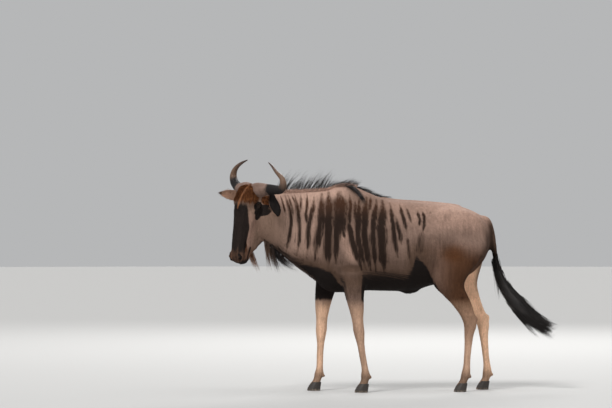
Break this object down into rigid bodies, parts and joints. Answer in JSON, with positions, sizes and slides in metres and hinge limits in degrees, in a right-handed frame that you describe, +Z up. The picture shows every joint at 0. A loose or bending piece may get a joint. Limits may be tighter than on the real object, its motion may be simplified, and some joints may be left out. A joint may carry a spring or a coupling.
{
  "type": "wildebeest",
  "caption": "Life-size museum model of a blue wildebeest bull in mid stride, its head turned to its left, with curved horns, dark stripes, mane, beard and a long black tail.",
  "frame": {"origin": "middle of the bounding box on the floor under the hooves", "axes": "+Z up; the animal faces -Y and its left side is +X"},
  "size_m": [0.5649, 2.1972, 1.4996],
  "materials": {
    "coat": "short grey-brown hair with dark upright stripes on the neck and ribs, black belly",
    "face": "short hair, black blaze down the face, rusty brow",
    "hair": "long coarse black hair",
    "horn": "grey-brown keratin, rough at the base and smooth to the tip",
    "hoof": "dark keratin",
    "eye": "wet dark brown"
  },
  "bodies": {
    "root": {"torso": "coat", "neck": "coat", "head": "face", "ear_left": "coat", "ear_right": "coat", "eye_left": "eye", "eye_right": "eye", "horn_left": "horn", "horn_right": "horn", "foreleg_left": "coat", "foreleg_right": "coat", "hindleg_left": "coat", "hindleg_right": "coat", "tail": "coat", "tail_tuft": "hair", "hoof_fore_left_outer": "hoof", "hoof_fore_left_inner": "hoof", "hoof_fore_right_outer": "hoof", "hoof_fore_right_inner": "hoof", "hoof_hind_left_outer": "hoof", "hoof_hind_left_inner": "hoof", "hoof_hind_right_outer": "hoof", "hoof_hind_right_inner": "hoof"}
  },
  "joints": []
}
